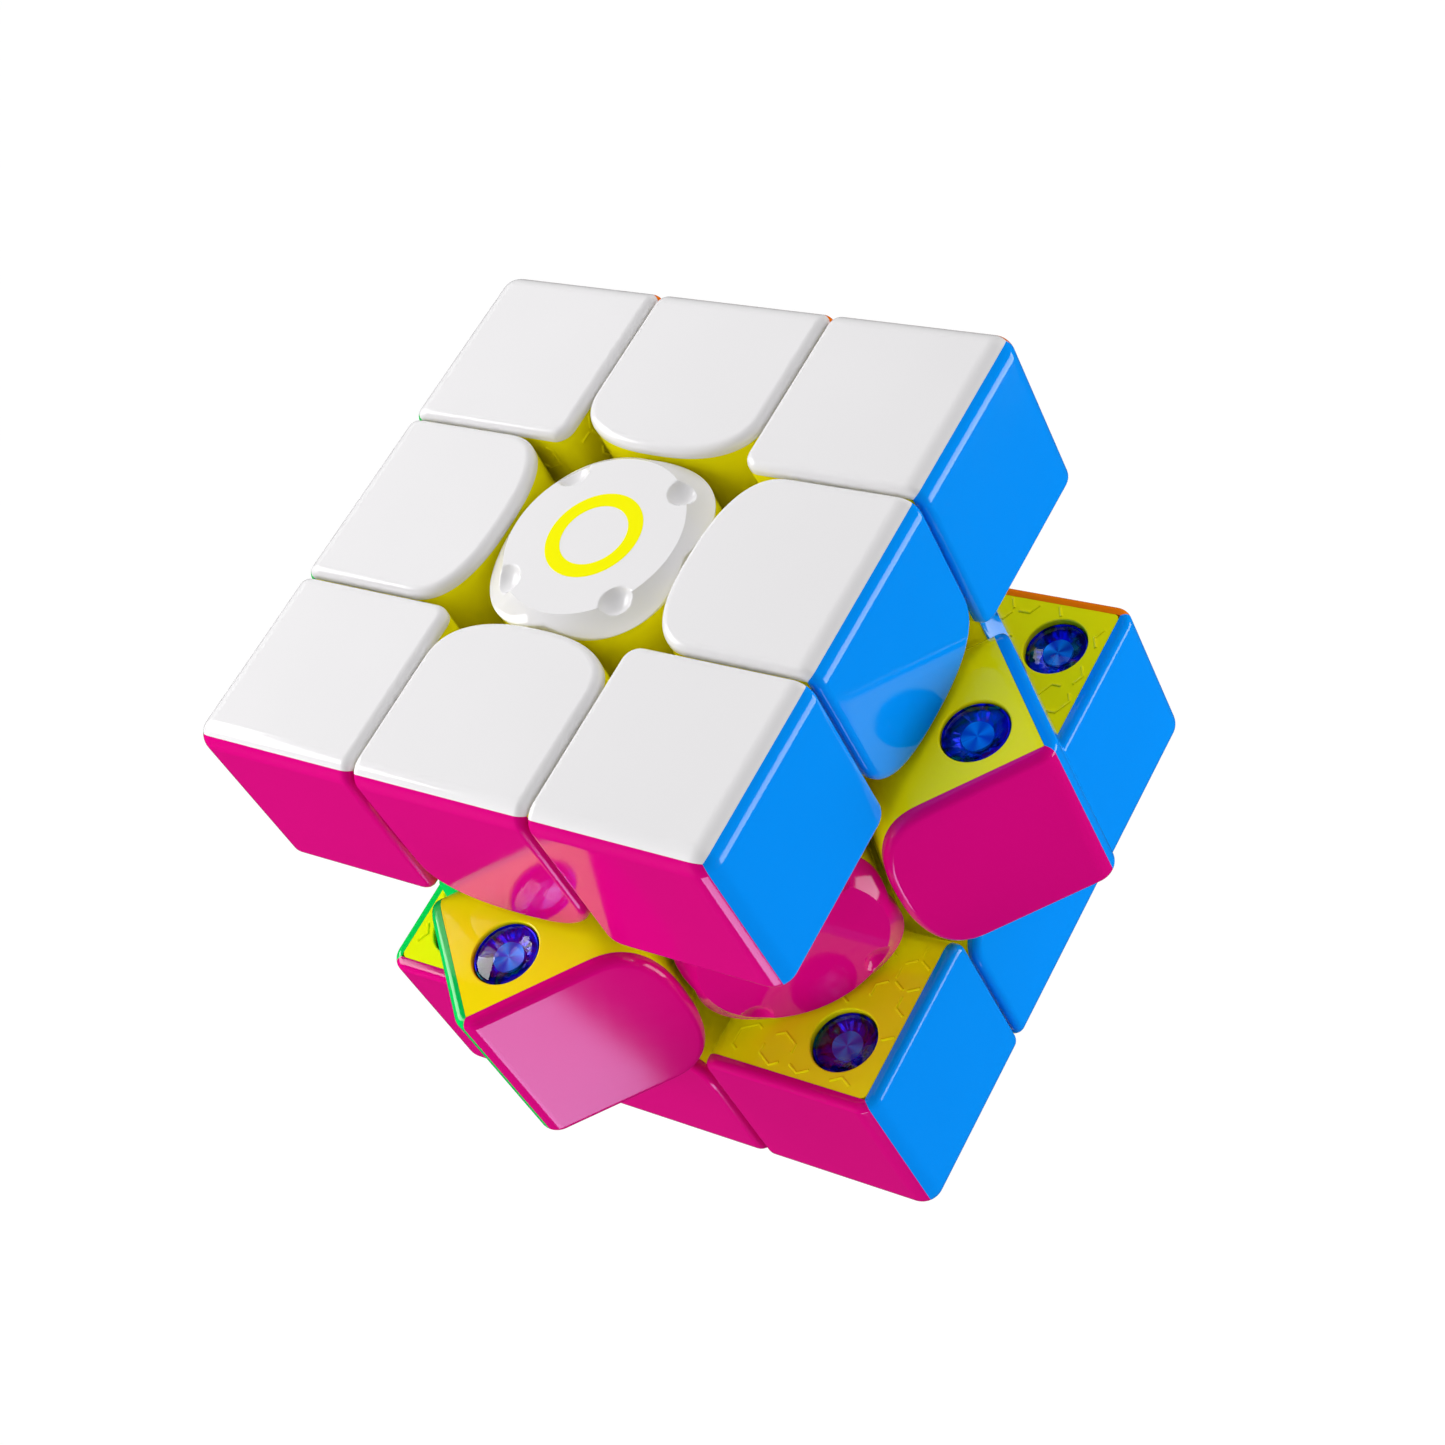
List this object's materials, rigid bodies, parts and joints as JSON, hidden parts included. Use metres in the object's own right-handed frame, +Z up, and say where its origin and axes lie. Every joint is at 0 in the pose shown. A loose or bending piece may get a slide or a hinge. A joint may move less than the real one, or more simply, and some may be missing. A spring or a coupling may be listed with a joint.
{
  "type": "twisty puzzle cube",
  "caption": "Twisty puzzle cube with turning layers, coloured corner shells, round-ended edge pieces, lobed pull-off centre caps and a sprung screw core inside.",
  "frame": {"origin": "centre of the core, where all turning axes cross", "axes": "+Z up through the top layer, the axis that the layers turn on here; -Y the front face and +X the right face of the top and bottom layers"},
  "size_m": [0.0776, 0.0776, 0.056],
  "materials": {
    "face_white": "polished coloured plastic",
    "face_magenta": "polished coloured plastic",
    "face_blue": "polished coloured plastic",
    "face_green": "polished coloured plastic",
    "face_orange": "polished coloured plastic",
    "face_yellow": "polished coloured plastic",
    "inner_yellow": "polished yellow plastic",
    "nut_plastic": "satin",
    "screw_steel": "machined",
    "spring_steel": "drawn wire"
  },
  "bodies": {
    "bottom_layer": {"centre_bottom": "inner_yellow", "edge_bottom_front": "inner_yellow", "edge_bottom_right": "inner_yellow", "edge_bottom_back": "inner_yellow", "edge_bottom_left": "inner_yellow", "corner_bottom_front_left": "inner_yellow", "corner_bottom_front_right": "inner_yellow", "corner_bottom_back_left": "inner_yellow", "corner_bottom_back_right": "inner_yellow", "corner_shell_bottom_front_left": "face_yellow", "corner_shell_bottom_front_right": "face_yellow", "corner_shell_bottom_back_left": "face_yellow", "corner_shell_bottom_back_right": "face_yellow"},
    "middle_layer": {"core": "inner_yellow", "screw_top": "screw_steel", "screw_bottom": "screw_steel", "screw_front": "screw_steel", "screw_right": "screw_steel", "screw_back": "screw_steel", "screw_left": "screw_steel", "spring_top": "spring_steel", "spring_bottom": "spring_steel", "spring_front": "spring_steel", "spring_right": "spring_steel", "spring_back": "spring_steel", "spring_left": "spring_steel", "centre_front": "inner_yellow", "centre_right": "inner_yellow", "centre_back": "inner_yellow", "centre_left": "inner_yellow", "edge_middle_front_left": "inner_yellow", "edge_middle_front_right": "inner_yellow", "edge_middle_back_left": "inner_yellow", "edge_middle_back_right": "inner_yellow"},
    "top_layer": {"centre_top": "inner_yellow", "edge_top_front": "inner_yellow", "edge_top_right": "inner_yellow", "edge_top_back": "inner_yellow", "edge_top_left": "inner_yellow", "corner_top_front_left": "inner_yellow", "corner_top_front_right": "inner_yellow", "corner_top_back_left": "inner_yellow", "corner_top_back_right": "inner_yellow", "corner_shell_top_front_left": "face_white", "corner_shell_top_front_right": "face_white", "corner_shell_top_back_left": "face_white", "corner_shell_top_back_right": "face_white"},
    "cap_top": {"centre_cap_top": "face_white"},
    "cap_bottom": {"centre_cap_bottom": "face_yellow"},
    "cap_front": {"centre_cap_front": "face_magenta"},
    "cap_right": {"centre_cap_right": "face_blue"},
    "cap_back": {"centre_cap_back": "face_orange"},
    "cap_left": {"centre_cap_left": "face_green"},
    "nut_top": {"tension_nut_top": "nut_plastic"},
    "nut_bottom": {"tension_nut_bottom": "nut_plastic"},
    "nut_front": {"tension_nut_front": "nut_plastic"},
    "nut_right": {"tension_nut_right": "nut_plastic"},
    "nut_back": {"tension_nut_back": "nut_plastic"},
    "nut_left": {"tension_nut_left": "nut_plastic"}
  },
  "joints": [
    {"name": "middle_layer_turn", "type": "hinge", "parent": "bottom_layer", "child": "middle_layer", "pos_m": [0, 0, 0], "axis": [0, 0, 1], "continuous": true},
    {"name": "top_layer_turn", "type": "hinge", "parent": "middle_layer", "child": "top_layer", "pos_m": [0, 0, 0], "axis": [0, 0, 1], "continuous": true},
    {"name": "cap_top_pull", "type": "slide", "parent": "top_layer", "child": "cap_top", "axis": [0, 0, 1], "range_m": [0, 0.012]},
    {"name": "cap_bottom_pull", "type": "slide", "parent": "bottom_layer", "child": "cap_bottom", "axis": [0, 0, -1], "range_m": [0, 0.012]},
    {"name": "cap_front_pull", "type": "slide", "parent": "middle_layer", "child": "cap_front", "axis": [0.7071, -0.7071, 0], "range_m": [0, 0.012]},
    {"name": "cap_right_pull", "type": "slide", "parent": "middle_layer", "child": "cap_right", "axis": [0.7071, 0.7071, 0], "range_m": [0, 0.012]},
    {"name": "cap_back_pull", "type": "slide", "parent": "middle_layer", "child": "cap_back", "axis": [-0.7071, 0.7071, 0], "range_m": [0, 0.012]},
    {"name": "cap_left_pull", "type": "slide", "parent": "middle_layer", "child": "cap_left", "axis": [-0.7071, -0.7071, 0], "range_m": [0, 0.012]},
    {"name": "nut_top_turn", "type": "hinge", "parent": "middle_layer", "child": "nut_top", "pos_m": [0, 0, 0], "axis": [0, 0, 1], "range_deg": [-180, 180]},
    {"name": "nut_bottom_turn", "type": "hinge", "parent": "middle_layer", "child": "nut_bottom", "pos_m": [0, 0, 0], "axis": [0, 0, -1], "range_deg": [-180, 180]},
    {"name": "nut_front_turn", "type": "hinge", "parent": "middle_layer", "child": "nut_front", "pos_m": [0, 0, 0], "axis": [0.7071, -0.7071, 0], "range_deg": [-180, 180]},
    {"name": "nut_right_turn", "type": "hinge", "parent": "middle_layer", "child": "nut_right", "pos_m": [0, 0, 0], "axis": [0.7071, 0.7071, 0], "range_deg": [-180, 180]},
    {"name": "nut_back_turn", "type": "hinge", "parent": "middle_layer", "child": "nut_back", "pos_m": [0, 0, 0], "axis": [-0.7071, 0.7071, 0], "range_deg": [-180, 180]},
    {"name": "nut_left_turn", "type": "hinge", "parent": "middle_layer", "child": "nut_left", "pos_m": [0, 0, 0], "axis": [-0.7071, -0.7071, 0], "range_deg": [-180, 180]}
  ]
}
